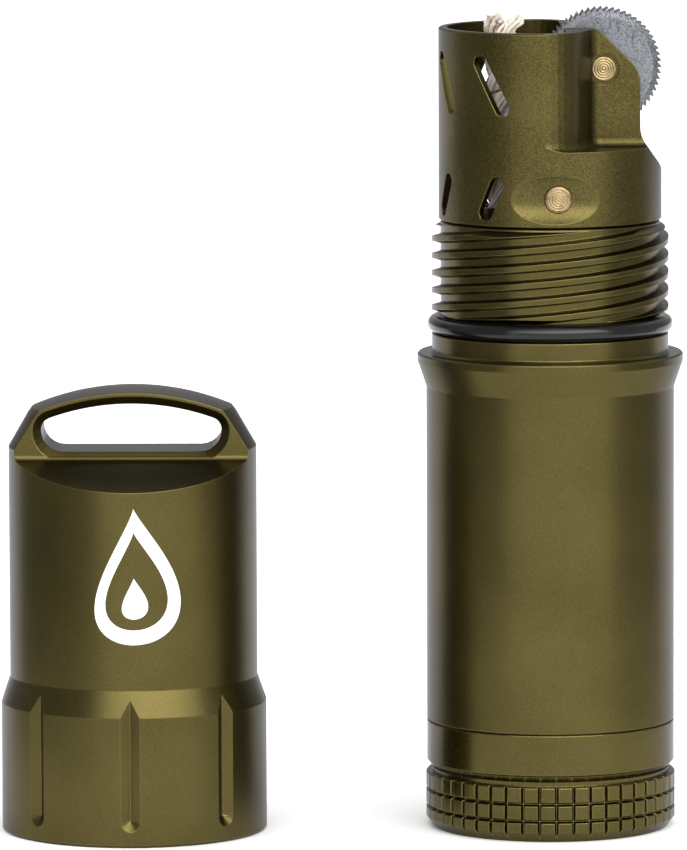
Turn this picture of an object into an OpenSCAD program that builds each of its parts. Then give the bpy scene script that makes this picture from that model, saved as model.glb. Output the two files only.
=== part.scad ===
// Refillable capsule lighter with a flint wheel, standing next to its screw-on cap.
// Origin: centre of the lighter's base. +Z up, millimetres. The wheel is on the +X side.

/* [Body tube] */
// Outer radius of the body tube
tube_r = 11.85; // [10.5:0.05:15]
// Length of the plain body tube
tube_len = 32.1; // [24:0.1:60]
// Wall of the body tube
tube_wall = 0.95; // [0.8:0.05:1.4]
// How far the flange stands out from the tube
flange_step = 0.85; // [0.4:0.05:1.5]
// Height of the cone under the flange
flare_h = 2.5; // [1:0.1:5]
// Height of the flange's rim
rim_h = 0.8; // [0.4:0.1:2]
// Wall left in the neck behind the seal groove
neck_wall = 1.0; // [0.7:0.05:2]

/* [Neck thread] */
// How far the neck steps in from the tube
neck_step = 0.54; // [0.4:0.02:1]
// Height of the plain land under the neck seal
land_h = 1.9; // [1:0.1:4]
// Length of the neck thread
thread_len = 8.8; // [5:0.1:14]
// Depth of the thread
thread_depth = 0.83; // [0.5:0.01:1]
// Distance from crest to crest
crest_pitch = 1.65; // [1.4:0.05:2]
// Number of thread starts
thread_starts = 4; // [1:1:4]
// Width of a crest
crest_w = 0.4; // [0.3:0.02:0.5]
// Width of a thread ridge at its root
root_w = 1.24; // [1:0.02:1.3]
// Turn of the thread about the axis
thread_phase = 73.5; // [3.5:10:83.5]

/* [Seals] */
// Cord diameter of the neck seal
neck_seal_d = 1.6; // [1.2:0.1:2]
// How far the neck seal stands out of its land
neck_seal_proud = 0.41; // [0.2:0.01:0.6]
// Cord diameter of the fuel cap seal
fuel_seal_d = 1.2; // [1:0.1:1.6]

/* [Fuel cap] */
// Height of the knurled part
knurl_h = 5.3; // [4:0.1:9]
// How far the knurl stands out from the tube
knurl_step = 0.09; // [0:0.01:0.4]
// Knurled pads around the cap
knurl_count = 46; // [36:1:60]
// Rows of pads
knurl_rows = 3; // [2:1:4]
// Width of the knurl grooves
knurl_w = 0.4; // [0.3:0.05:0.7]
// Depth of the knurl grooves
knurl_depth = 0.4; // [0.2:0.05:0.5]
// Height of the groove above the knurl
waist_h = 1.0; // [0.5:0.1:2]
// Height of the plain ring above the groove
ring_h = 4.0; // [2:0.1:8]
// Length of the screw-in stub
stub_len = 6.2; // [5:0.1:8]
// Pitch of the stub's thread
stub_pitch = 1.0; // [0.8:0.1:1.25]

/* [Chimney] */
// Height of the chimney
chimney_h = 18.35; // [17.5:0.05:24]
// How far the chimney steps in from the thread's crest
chimney_step = 0.67; // [0.5:0.01:0.9]
// Wall of the chimney
chimney_wall = 0.8; // [0.6:0.05:1]
// Half the distance over the two cheeks
cheek_y = 3.9; // [3.6:0.1:4.6]
// Width of the wheel slot
slot_w = 4.0; // [3.6:0.1:4.4]
// Height of the ledge under the cheeks, above the seat
ledge_h = 7.15; // [6.8:0.05:7.6]
// Radius in the corner at the foot of the cheeks
ledge_fillet = 0.8; // [0.4:0.1:1]
// Vent slots in each of the two rows
vent_count = 4; // [2:1:4]
// Angle between two vents
vent_step = 37; // [34:1:40]
// Width of a vent
vent_w = 1.55; // [1:0.05:2]

/* [Wheel and flint] */
// Radius over the teeth of the striker wheel
wheel_r = 5.7; // [5:0.05:6]
// Distance of the wheel's centre from the axis
wheel_x = 4.9; // [4.6:0.05:5.1]
// Height of the wheel's centre above the chimney's seat
wheel_z = 14.55; // [14.3:0.05:15]
// Teeth on the wheel
wheel_teeth = 60; // [40:1:72]
// Radius of the wheel's axle
axle_r = 1.0; // [0.8:0.05:1.1]
// Radius of the flint
flint_r = 1.2; // [1:0.05:1.3]
// Length of a new flint
flint_len = 5; // [3:0.5:6]
// Wall of the flint tube
flint_tube_wall = 0.75; // [0.4:0.05:0.85]
// Radius of the cross pin
pin_r = 1.28; // [1:0.02:1.4]

/* [Wick] */
// Radius of the wick
wick_r = 1.7; // [1.2:0.05:1.8]
// Distance of the wick's centre from the axis
wick_x = -4.6; // [-5:0.1:-4.4]
// How far the wick stands above the chimney's rim
wick_proud = 2.1; // [0.5:0.1:2.3]

/* [Cap] */
// Distance between the two axes as they stand
cap_x = 40.0; // [32:0.5:60]
// How far the cap stands towards the front
cap_y = 0.4; // [0:0.1:4]
// Turn of the cap about its own axis
cap_turn = -2; // [-10:0.5:10]
// Height of the grip band
band_h = 12.4; // [9:0.1:16]
// Height of the cone above the band
band_cone_h = 2.5; // [1:0.1:4]
// Flutes around the grip band
flute_count = 8; // [6:1:10]
// Depth of the flutes
flute_depth = 0.57; // [0.3:0.01:0.6]
// Thickness of the bail
bail_t = 8.2; // [6:0.1:10]
// Half the length of the eye in the bail
eye_half = 8.6; // [7:0.1:8.8]
// Height of the eye in the bail
eye_h = 4.6; // [4.4:0.1:5]
// Chamfer round the eye
eye_chamfer = 0.8; // [0.2:0.1:1]
// Thickness of metal over the eye
bail_over = 1.4; // [1:0.1:2]
// Metal between the cavity and the eye
crown_t = 3.3; // [2.5:0.1:5]

/* [Hidden] */
$fn = 96;
olive = "#5f5630";
slack = 0.05;
pin_fit = 0.02;
soft_gap = 0.35;
over = 1;

tube_bore = tube_r - tube_wall;
flange_r = tube_r + flange_step;
neck_r = tube_r - neck_step;
root_r = neck_r - thread_depth;
chimney_r = neck_r - chimney_step;
chamber_r = chimney_r - chimney_wall;
lead = crest_pitch * thread_starts;
groove_w = neck_seal_d + 2 * slack;
groove_r = neck_r + neck_seal_proud - neck_seal_d - slack;
neck_bore = groove_r - neck_wall;

z_tube = knurl_h + waist_h + ring_h;
z_flare = z_tube + tube_len;
z_rim = z_flare + flare_h;
z_flange = z_rim + rim_h;
z_groove = z_flange + land_h;
z_thread = z_groove + groove_w;
z_seat = z_thread + thread_len + 0.35;
z_top = z_seat + chimney_h;
z_ledge = z_seat + ledge_h;
z_wheel = z_seat + wheel_z;
z_shoulder = z_rim - 0.9;

stub_r = tube_bore - 0.08;
z_stub = z_tube + stub_len;
knurl_r = tube_r + knurl_step;
waist_r = tube_r - 0.5;
chamfer_h = 0.95;

flint_tube_r = flint_r + 0.15 + flint_tube_wall;
z_flint = z_wheel - wheel_r - 0.06;
z_tube_top = z_ledge - 1.6;
z_tube_foot = z_stub + 2.6;
screw_head_h = 1.4;
screw_len = 4.5;
pusher_len = 4;
z_pusher = z_flint - flint_len - pusher_len;
post_x = wheel_x - 1.4;
post_r = flint_tube_r + 2.3;
z_post = z_ledge - 1;
z_pin = z_seat + 2.65;
pin_x = 0.3;
deck_x = -1.6;
cheek_x = 1.2;
z_insert = z_seat - 8.3;
wick_tube_r = wick_r + 0.85;
z_wick = z_top + wick_proud;
z_wick_foot = z_flare - 12;

cap_bore = chimney_r + 0.31;
cap_mouth = neck_r + 0.19;
z_cap_thread = z_thread - z_flange;
cap_room = z_top - z_flange;
z_eye = cap_room + 2.3 + crown_t;
cap_h = z_eye + eye_h + bail_over;
dome_r = 24.5;
dome_z = cap_h - dome_r;
bail_y = bail_t / 2;

// Points of an arc about [x, y], from angle a to angle b.
function arc(x, y, r, a, b, n) =
    [for (i = [0:n]) let (t = a + (b - a) * i / n) [x + r * cos(t), y + r * sin(t)]];

// One thread ridge: a section of [radius, height] points swept up a helix.
module helix_ridge(section, z, turn_lead, turns, step) {
    n = ceil(turns * 360 / step);
    m = len(section);
    points = [for (i = [0:n]) for (p = section)
        [p[0] * cos(i * step), p[0] * sin(i * step), z + p[1] + turn_lead * i * step / 360]];
    sides = [for (i = [0:n - 1]) for (k = [0:m - 1])
        let (a = m * i + k, b = m * i + (k + 1) % m) each [[a, b, b + m], [a, b + m, a + m]]];
    first = [for (k = [0:m - 1]) (m - k) % m];
    last = [for (k = [0:m - 1]) m * n + k];
    polyhedron(points = points, faces = concat(sides, [first, last]), convexity = 10);
}

module thread_ridges(section, z, turns, step) {
    for (s = [0:thread_starts - 1]) {
        rotate([0, 0, thread_phase + s * 360 / thread_starts])
            helix_ridge(section, z, lead, turns, step);
    }
}

// A ring whose section is a circle.
module o_ring(outer_r, cord_d, z) {
    translate([0, 0, z])
        rotate_extrude()
            translate([outer_r - cord_d / 2, 0])
                circle(d = cord_d, $fn = 24);
}

// ---- Body tube ----

module tank_profile() {
    rim_edge = 0.15;
    polygon([[tube_bore, z_tube], [tube_r - 0.12, z_tube], [tube_r, z_tube + 0.12],
        [tube_r, z_flare], [flange_r, z_rim], [flange_r, z_flange - rim_edge],
        [flange_r - rim_edge, z_flange], [neck_r + 0.2, z_flange], [neck_r, z_flange + 0.2],
        [neck_r, z_groove - 0.1], [neck_r - 0.1, z_groove], [groove_r, z_groove],
        [groove_r, z_thread], [root_r, z_thread], [root_r, z_seat - 0.25],
        [root_r - 0.25, z_seat], [neck_bore, z_seat], [neck_bore, z_shoulder],
        [tube_bore, z_shoulder - tube_bore + neck_bore]]);
}

module neck_thread() {
    crest_r = neck_r + 0.01;
    spare = 0.2;
    sink = 0.15;
    run_out = thread_depth * 0.6;
    section = [[root_r - sink - spare, -root_w / 2], [crest_r + spare, -crest_w / 2],
        [crest_r + spare, crest_w / 2], [root_r - sink - spare, root_w / 2]];
    turns = (thread_len + 3 * root_w) / lead;
    intersection() {
        thread_ridges(section, z_thread - root_w, turns, 10);
        rotate_extrude()
            polygon([[root_r - sink, z_thread + slack], [root_r, z_thread + slack],
                [crest_r, z_thread + run_out], [crest_r, z_thread + thread_len - run_out],
                [root_r, z_thread + thread_len], [root_r - sink, z_thread + thread_len]]);
    }
}

module tank_body() {
    color(olive) {
        rotate_extrude()
            tank_profile();
        neck_thread();
    }
}

module neck_oring() {
    color("#1b1b19")
        o_ring(neck_r + neck_seal_proud, neck_seal_d, z_groove + groove_w / 2);
}

// ---- Fuel cap ----

module fuel_cap_profile() {
    seal_z = z_tube + 0.6;
    floor_t = 3;
    room_r = stub_r - 2;
    groove = fuel_seal_d + 2 * slack;
    groove_floor = stub_r - fuel_seal_d + slack;
    edge = 0.12;
    polygon([[0, 0], [knurl_r - 0.69, 0], [knurl_r, chamfer_h], [knurl_r, knurl_h - edge],
        [knurl_r - edge, knurl_h], [waist_r, knurl_h], [waist_r, knurl_h + waist_h * 0.4],
        [tube_r - edge, knurl_h + waist_h], [tube_r, knurl_h + waist_h + edge],
        [tube_r, z_tube - edge], [tube_r - edge, z_tube], [stub_r, z_tube], [stub_r, seal_z],
        [groove_floor, seal_z], [groove_floor, seal_z + groove], [stub_r, seal_z + groove],
        [stub_r, z_stub - 0.5], [stub_r - 0.5, z_stub], [room_r, z_stub], [room_r, floor_t],
        [0, floor_t]]);
}

module knurl_grooves() {
    bottom = chamfer_h * 0.4;
    row_h = (knurl_h - bottom) / knurl_rows;
    for (k = [0:knurl_count - 1]) {
        rotate([0, 0, (k + 0.5) * 360 / knurl_count])
            translate([knurl_r - knurl_depth, 0, -over])
                linear_extrude(knurl_h + over + slack)
                    polygon([[0, 0], [knurl_depth + 0.1, -knurl_w * 0.62],
                        [knurl_depth + 0.1, knurl_w * 0.62]]);
    }
    rotate_extrude()
        for (j = [1:knurl_rows - 1]) {
            z = bottom + j * row_h;
            polygon([[knurl_r - knurl_depth - 0.03, z], [knurl_r + 0.1, z - knurl_w * 0.62],
                [knurl_r + 0.1, z + knurl_w * 0.62]]);
        }
}

module stub_grooves() {
    depth = 0.45;
    first = z_tube + 0.6 + fuel_seal_d + 1.1;
    count = floor((z_stub - 0.7 - first) / stub_pitch);
    rotate_extrude()
        for (j = [0:count]) {
            z = first + j * stub_pitch;
            polygon([[stub_r - depth, z], [stub_r + 0.1, z - depth * 0.75],
                [stub_r + 0.1, z + depth * 0.75]]);
        }
}

module fuel_cap() {
    color(olive)
        difference() {
            rotate_extrude()
                fuel_cap_profile();
            knurl_grooves();
            stub_grooves();
        }
}

module fuel_cap_oring() {
    color("#1b1b19")
        o_ring(tube_bore - 0.03, fuel_seal_d, z_tube + 0.6 + fuel_seal_d / 2 + slack);
}

// ---- Insert that carries the wick and the flint tube ----

module deck_insert() {
    color("#c9b27a")
        difference() {
            union() {
                translate([0, 0, z_insert])
                    cylinder(r = neck_bore, h = z_seat - z_insert);
                translate([post_x, 0, z_insert])
                    cylinder(r = post_r, h = z_post - z_insert);
            }
            translate([wheel_x, 0, z_insert - over])
                cylinder(r = flint_tube_r, h = z_post - z_insert + 2 * over);
            translate([wick_x, 0, z_insert - over])
                cylinder(r = wick_tube_r, h = z_seat - z_insert + 2 * over);
            translate([pin_x, 0, z_pin])
                rotate([90, 0, 0])
                    cylinder(r = pin_r + pin_fit, h = 4 * post_r, center = true);
        }
}

// ---- Chimney ----

ramp_lean = 70;
ramp_outer = 4.6;
ramp_inner = 1.2;
ramp_start = -1.8;

// Plan of the cheek's outer side, from the round wall back to the flat cheek,
// moved out from the metal by d.
function ramp_path(d) =
    let (cy = -chimney_r + ramp_outer,
         x1 = ramp_start + (ramp_outer + d) * sin(ramp_lean),
         y1 = cy - (ramp_outer + d) * cos(ramp_lean),
         r2 = ramp_inner - d,
         y2 = -cheek_y - d - r2 * (1 - cos(ramp_lean)),
         x2 = x1 + (y2 - y1) / tan(ramp_lean))
    concat(arc(ramp_start, cy, ramp_outer + d, -90, ramp_lean - 90, 8),
        arc(x2 + r2 * sin(ramp_lean), -cheek_y - d - r2, r2, 90 + ramp_lean, 90, 6));

// What is milled away beside one cheek, with a round corner at its foot.
module cheek_pocket() {
    far = 2 * chimney_r;
    layers = concat([for (i = [0:5]) let (t = i * 18)
        [ledge_fillet * (1 - sin(t)), z_ledge + ledge_fillet * (1 - cos(t))]],
        [[0, z_top + over]]);
    outlines = [for (l = layers) concat([[far, -far]], [[ramp_start, -far]],
        ramp_path(l[0]), [[far, -cheek_y - l[0]]])];
    m = len(outlines[0]);
    n = len(layers) - 1;
    points = [for (i = [0:n]) for (p = outlines[i]) [p[0], p[1], layers[i][1]]];
    sides = [for (i = [0:n - 1]) for (k = [0:m - 1])
        let (a = m * i + k, b = m * i + (k + 1) % m) each [[a, b, b + m], [a, b + m, a + m]]];
    bottom = [for (k = [0:m - 1]) (m - k) % m];
    top = [for (k = [0:m - 1]) m * n + k];
    polyhedron(points = points, faces = concat(sides, [bottom, top]), convexity = 6);
}

// Side view of what is cut away behind the wheel, as [x, z] points.
module ear_cut() {
    x0 = wheel_x - 1.2;
    r_top = 1.5;
    r_nose = 2.8;
    nose_x = wheel_x + 3.5;
    zt = z_top - r_top + r_top * cos(45);
    xt = x0 + r_top * sin(45);
    xn = nose_x - r_nose + r_nose * sin(45);
    zn = zt - (xn - xt) - r_nose * cos(45);
    z_flare_in = z_ledge + 1.9;
    r_flare = 2.9;
    lean = 54.8;
    r_foot = 2.5;
    flare_end = arc(nose_x + r_flare, z_flare_in, r_flare, 180, 180 + 35.9, 6);
    corner = flare_end[6];
    xf = chimney_r + 0.02 - r_foot + r_foot * sin(lean);
    zf = corner[1] - (xf - corner[0]) * tan(lean) - r_foot * cos(lean);
    polygon(concat([[x0, z_top + over]], arc(x0, z_top - r_top, r_top, 90, 45, 5),
        arc(nose_x - r_nose, zn, r_nose, 45, 0, 8), flare_end,
        arc(chimney_r + 0.02 - r_foot, zf, r_foot, 90 - lean, 0, 8),
        [[2 * chimney_r, zf], [2 * chimney_r, z_top + over]]));
}

module vent(angle, z, tilt, reach) {
    rotate([0, 0, angle])
        translate([0, -chamber_r, z])
            rotate([90, tilt, 0]) {
                for (s = [-1, 1]) {
                    translate([0, s * reach / 2, 0])
                        cylinder(d = vent_w, h = 6, center = true, $fn = 24);
                }
                cube([vent_w, reach, 6], center = true);
            }
}

module vents() {
    first = -90 + vent_step * (vent_count - 1) / 2;
    for (k = [0:vent_count - 1]) {
        vent(first - k * vent_step, z_seat + 13.35, -30, 4.9);
        vent(first - k * vent_step, z_seat + 2.65, 25, 2.9);
    }
}

// The room round the wick: narrow below, wider above the post.
module chamber() {
    inner = 1.0;
    wall_arc = arc(ramp_start, -chimney_r + ramp_outer, ramp_outer - inner, -90,
        asin((cheek_x - ramp_start) / (ramp_outer - inner)) - 90, 5);
    side = concat([[-chimney_r, -chimney_r], [ramp_start, -chimney_r]], wall_arc);
    back = [for (k = [len(side) - 1:-1:0]) [side[k][0], -side[k][1]]];
    intersection() {
        translate([0, 0, z_seat - over])
            cylinder(r = chamber_r, h = chimney_h + 2 * over);
        union() {
            translate([-2 * chimney_r, -chimney_r, z_seat - over])
                cube([2 * chimney_r + deck_x, 2 * chimney_r, chimney_h + 2 * over]);
            translate([0, 0, z_ledge - 0.5])
                linear_extrude(chimney_h)
                    polygon(concat(side, back));
        }
    }
}

module pin_recess() {
    depth = 0.85;
    half_h = 2.3;
    scoop_r = (half_h * half_h + depth * depth) / (2 * depth);
    for (s = [-1, 1]) {
        translate([0, s * (chimney_r - depth + scoop_r), z_pin])
            rotate([0, 90, 0])
                cylinder(r = scoop_r, h = 2 * chimney_r, center = true);
    }
}

module chimney() {
    edge = 0.12;
    head_r = axle_r + 0.5;
    color(olive)
        difference() {
            rotate_extrude()
                polygon([[0, z_seat], [chimney_r - edge, z_seat], [chimney_r, z_seat + edge],
                    [chimney_r, z_top - edge], [chimney_r - edge, z_top], [0, z_top]]);
            chamber();
            vents();
            pin_recess();
            cheek_pocket();
            mirror([0, 1, 0])
                cheek_pocket();
            rotate([90, 0, 0])
                linear_extrude(2 * chimney_r + over, center = true)
                    ear_cut();
            translate([cheek_x - over, -slot_w / 2, z_wheel - wheel_r - 0.5])
                cube([2 * chimney_r, slot_w, chimney_h]);
            translate([post_x, 0, z_seat - over])
                cylinder(r = post_r + slack, h = z_post - z_seat + over);
            translate([wheel_x, 0, z_seat])
                cylinder(r = flint_tube_r + slack, h = z_tube_top - z_seat + slack);
            translate([wheel_x, 0, z_seat])
                cylinder(r = flint_r + 0.15, h = chimney_h);
            translate([pin_x, 0, z_pin])
                rotate([90, 0, 0])
                    cylinder(r = pin_r + pin_fit, h = 3 * chimney_r, center = true);
            translate([wheel_x, 0, z_wheel])
                rotate([90, 0, 0])
                    cylinder(r = axle_r + pin_fit, h = 3 * cheek_y, center = true);
            for (s = [-1, 1]) {
                translate([wheel_x, s * cheek_y, z_wheel])
                    rotate([90, 0, 0])
                        cylinder(r = head_r, h = 0.8, center = true);
            }
        }
}

// A turned pin across the body, with a shallow cone at each end.
module turned_pin(r, half_len, cone_h) {
    rotate([90, 0, 0])
        rotate_extrude()
            polygon([[0, -half_len], [r * 0.9, -half_len + cone_h], [r, -half_len + cone_h * 2],
                [r, half_len - cone_h * 2], [r * 0.9, half_len - cone_h], [0, half_len]]);
}

module chimney_pin() {
    color("#c9a05a")
        translate([pin_x, 0, z_pin])
            turned_pin(pin_r, chimney_r - 0.35, 0.14);
}

// ---- Wheel ----

module wheel_axle() {
    head_r = axle_r + 0.15;
    head_h = 0.36;
    color("#c9a05a")
        translate([wheel_x, 0, z_wheel]) {
            rotate([90, 0, 0])
                cylinder(r = axle_r, h = 2 * cheek_y - 0.8, center = true);
            for (s = [-1, 1]) {
                translate([0, s * (cheek_y - 0.4 + head_h / 2), 0])
                    rotate([90, 0, 0])
                        cylinder(r = head_r, h = head_h, center = true);
            }
        }
}

module striker_wheel() {
    tooth_h = 0.42;
    half_t = slot_w / 2 - 0.2;
    face_r = wheel_r - 0.85;
    band = 0.55;
    step = 360 / wheel_teeth;
    color("#8d9096")
        translate([wheel_x, 0, z_wheel])
            rotate([90, 0, 0])
                difference() {
                    intersection() {
                        linear_extrude(2 * half_t, center = true)
                            polygon([for (i = [0:wheel_teeth - 1]) each [
                                [(wheel_r - tooth_h) * cos(i * step - 0.8),
                                    (wheel_r - tooth_h) * sin(i * step - 0.8)],
                                [wheel_r * cos(i * step), wheel_r * sin(i * step)]]]);
                        rotate_extrude()
                            polygon([[0, -half_t], [face_r, -half_t], [wheel_r + 0.01, band - half_t],
                                [wheel_r + 0.01, half_t - band], [face_r, half_t], [0, half_t]]);
                    }
                    cylinder(r = axle_r + slack, h = 3 * half_t, center = true);
                }
}

// ---- Flint and what feeds it ----

module flint() {
    color("#4a4a48")
        translate([wheel_x, 0, z_flint - flint_len])
            cylinder(r = flint_r, h = flint_len);
}

module flint_pusher() {
    color("#c9a05a")
        translate([wheel_x, 0, z_pusher])
            cylinder(r = flint_r, h = pusher_len);
}

module flint_spring() {
    wire_r = 0.2;
    coil_r = flint_r - wire_r - 0.05;
    z_low = z_tube_foot + screw_len + wire_r + slack;
    z_high = z_pusher - wire_r - slack;
    turns = 16;
    section = arc(coil_r, 0, wire_r, 0, 288, 4);
    color("#a9abad")
        translate([wheel_x, 0, 0])
            helix_ridge(section, z_low, (z_high - z_low) / turns, turns, 30);
}

module flint_tube() {
    color("#c9a05a")
        translate([wheel_x, 0, z_tube_foot])
            difference() {
                cylinder(r = flint_tube_r, h = z_tube_top - z_tube_foot);
                translate([0, 0, -over])
                    cylinder(r = flint_r + 0.15, h = z_tube_top - z_tube_foot + 2 * over);
            }
}

module flint_screw() {
    shank_r = flint_r + 0.15 - 0.07;
    pitch = 0.7;
    depth = 0.3;
    color("#c9a05a")
        translate([wheel_x, 0, z_tube_foot])
            difference() {
                union() {
                    translate([0, 0, -screw_head_h])
                        cylinder(r = flint_tube_r, h = screw_head_h);
                    cylinder(r = shank_r, h = screw_len);
                }
                translate([0, 0, -screw_head_h])
                    cube([3 * flint_tube_r, 0.7, 1.3], center = true);
                rotate_extrude()
                    for (j = [1:5]) {
                        polygon([[shank_r - depth, j * pitch],
                            [shank_r + 0.1, j * pitch - depth * 0.8],
                            [shank_r + 0.1, j * pitch + depth * 0.8]]);
                    }
            }
}

// ---- Wick and packing ----

module wick() {
    round_r = 0.5;
    color("#e8e0d2")
        translate([wick_x, 0, 0])
            rotate_extrude()
                polygon([[0, z_wick_foot], [wick_r, z_wick_foot], [wick_r, z_wick - round_r],
                    [wick_r - round_r, z_wick], [0, z_wick]]);
}

module wick_wire() {
    wire_r = 0.12;
    coil_r = wick_r + 0.12 + wire_r;
    section = arc(coil_r, 0, wire_r, 0, 270, 3);
    z_low = z_seat - 2;
    z_high = z_top - 1;
    turns = 5;
    color("#9a6b3f")
        translate([wick_x, 0, 0])
            helix_ridge(section, z_low, (z_high - z_low) / turns, turns, 20);
}

module wick_tube() {
    color("#c9a05a")
        translate([wick_x, 0, z_insert])
            difference() {
                cylinder(r = wick_tube_r, h = z_seat - z_insert + 1.2);
                translate([0, 0, -over])
                    cylinder(r = wick_r + 0.5, h = z_seat - z_insert + 1.2 + 2 * over);
            }
}

module cotton_packing() {
    z_low = z_stub + 2.5;
    z_mid = z_shoulder - tube_bore + neck_bore - soft_gap;
    z_high = z_insert - soft_gap;
    color("#efe9dc")
        difference() {
            union() {
                translate([0, 0, z_low])
                    cylinder(r = tube_bore - soft_gap, h = z_mid - z_low);
                translate([0, 0, z_low])
                    cylinder(r = neck_bore - soft_gap, h = z_high - z_low);
            }
            translate([wheel_x, 0, z_low - over])
                cylinder(r = flint_tube_r + soft_gap, h = z_high - z_low + 2 * over);
            translate([wick_x, 0, z_wick_foot - soft_gap])
                cylinder(r = wick_r + soft_gap, h = z_high - z_wick_foot + 2 * over);
        }
}

module felt_pad() {
    z_low = z_stub + soft_gap;
    color("#d9d2c2")
        difference() {
            translate([0, 0, z_low])
                cylinder(r = tube_bore - soft_gap, h = 2.5 - 2 * soft_gap);
            translate([wheel_x, 0, z_low - over])
                cylinder(r = flint_tube_r + soft_gap, h = 4);
        }
}

// ---- Cap ----

module cap_profile() {
    edge = 0.25;
    slope_x = 9.98;
    slope_z = dome_z + sqrt(dome_r * dome_r - slope_x * slope_x) - 0.35;
    z_shelf = slope_z - (tube_r - slope_x) * tan(60);
    polygon(concat([[0, 0], [flange_r - edge, 0], [flange_r, edge], [flange_r, band_h],
        [tube_r, band_h + band_cone_h], [tube_r, z_shelf], [slope_x, slope_z]],
        arc(0, dome_z, dome_r, acos(9.6 / dome_r), 90, 16)));
}

module cap_cavity() {
    lip = 0.4;
    z_in = z_cap_thread + thread_len;
    ceiling_h = 2.3;
    rotate_extrude()
        polygon([[0, -over], [cap_mouth + lip, -over], [cap_mouth + lip, 0],
            [cap_mouth, lip], [cap_mouth, z_in + 0.3], [cap_bore, z_in + 0.9],
            [cap_bore, cap_room], [cap_bore - 4.95, cap_room + ceiling_h],
            [0, cap_room + ceiling_h]]);
}

module cap_thread() {
    sink = 0.2;
    crest_r = root_r + 0.13;
    section = [[cap_mouth + sink, -root_w / 2], [cap_mouth + sink, root_w / 2],
        [crest_r, crest_w / 2], [crest_r, -crest_w / 2]];
    z_in = z_cap_thread + 0.4;
    turns = (thread_len - 1.4) / lead;
    thread_ridges(section, z_in + root_w / 2, turns, 15);
}

// Half section of the cut beside the bail, as [y, z] points.
module shelf_cut() {
    foot_r = 0.6;
    fall = 16.5;
    z_foot = z_eye - 0.8;
    start = arc(bail_y + foot_r, z_foot + foot_r, foot_r, 180, 270 - fall, 6);
    last = start[6];
    reach = flange_r + 2;
    polygon(concat([[bail_y, cap_h + over]], start,
        [[reach, last[1] - (reach - last[0]) * tan(fall)], [reach, cap_h + over]]));
}

// Outline of the eye in the bail, as [x, z] points.
module eye_outline() {
    low_r = 2.1;
    top_r = 1.2;
    arch_r = dome_r - bail_over;
    cx = eye_half - top_r;
    cz = dome_z + sqrt((arch_r - top_r) * (arch_r - top_r) - cx * cx);
    turn = atan2(cz - dome_z, cx);
    lx = eye_half - low_r;
    polygon(concat(arc(-lx, z_eye + low_r, low_r, 180, 270, 6),
        arc(lx, z_eye + low_r, low_r, 270, 360, 6), arc(cx, cz, top_r, 0, turn, 5),
        arc(0, dome_z, arch_r, turn, 180 - turn, 20), arc(-cx, cz, top_r, 180 - turn, 180, 5)));
}

module eye_cut() {
    thin = 0.02;
    rotate([90, 0, 0])
        linear_extrude(bail_t + 2 * over, center = true)
            eye_outline();
    for (s = [0, 1]) {
        mirror([0, s, 0])
            hull() {
                translate([0, -bail_y + eye_chamfer, 0])
                    rotate([90, 0, 0])
                        linear_extrude(thin)
                            eye_outline();
                translate([0, -bail_y, 0])
                    rotate([90, 0, 0])
                        linear_extrude(thin)
                            offset(r = eye_chamfer)
                                eye_outline();
            }
    }
}

// V-shaped flutes: straight up, with the round end of the cutter at the foot.
module flutes() {
    z_foot = 2.5;
    half_w = (flute_depth + 0.3) * tan(60);
    for (k = [0:flute_count - 1]) {
        rotate([0, 0, k * 360 / flute_count])
            translate([0, -flange_r + flute_depth, z_foot])
                rotate([90, 0, 0]) {
                    cylinder(r1 = 0, r2 = half_w, h = flute_depth + 0.3, $fn = 32);
                    rotate([0, -90, -90])
                        linear_extrude(band_h + band_cone_h)
                            polygon([[0, 0], [flute_depth + 0.3, -half_w],
                                [flute_depth + 0.3, half_w]]);
                }
    }
}

module cap_shell() {
    color(olive)
        translate([-cap_x, -cap_y, 0]) rotate([0, 0, cap_turn]) {
            difference() {
                rotate_extrude()
                    cap_profile();
                cap_cavity();
                flutes();
                for (s = [0, 1]) {
                    mirror([0, s, 0])
                        rotate([90, 0, 90])
                            linear_extrude(3 * flange_r, center = true)
                                shelf_cut();
                }
                eye_cut();
            }
            cap_thread();
        }
}

tank_body();
neck_oring();
fuel_cap();
fuel_cap_oring();
deck_insert();
chimney();
chimney_pin();
wheel_axle();
striker_wheel();
flint();
flint_pusher();
flint_spring();
flint_tube();
flint_screw();
wick();
wick_wire();
wick_tube();
cotton_packing();
felt_pad();
cap_shell();
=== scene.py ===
"""Finishes and fine pieces for a refillable capsule lighter that stands beside its screw cap."""

import math

import bmesh
import bpy
from bpy.props import FloatProperty, FloatVectorProperty, IntProperty, PointerProperty, StringProperty
from mathutils import Matrix, Vector


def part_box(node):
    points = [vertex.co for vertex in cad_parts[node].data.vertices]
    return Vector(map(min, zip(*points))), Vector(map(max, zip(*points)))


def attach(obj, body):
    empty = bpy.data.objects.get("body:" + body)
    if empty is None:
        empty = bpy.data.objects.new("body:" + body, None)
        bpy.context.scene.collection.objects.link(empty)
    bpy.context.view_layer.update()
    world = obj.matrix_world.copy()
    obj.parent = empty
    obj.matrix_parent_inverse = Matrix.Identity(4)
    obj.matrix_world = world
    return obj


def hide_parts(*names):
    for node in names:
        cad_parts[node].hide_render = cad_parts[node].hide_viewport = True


bl_info = {
    "name": "Capsule lighter",
    "version": (1, 0, 0),
    "blender": (4, 5, 0),
    "location": "3D View > Sidebar > Lighter",
    "description": "Gives a capsule lighter and its cap their finishes, wick and printed emblem",
    "category": "Object",
}

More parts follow.
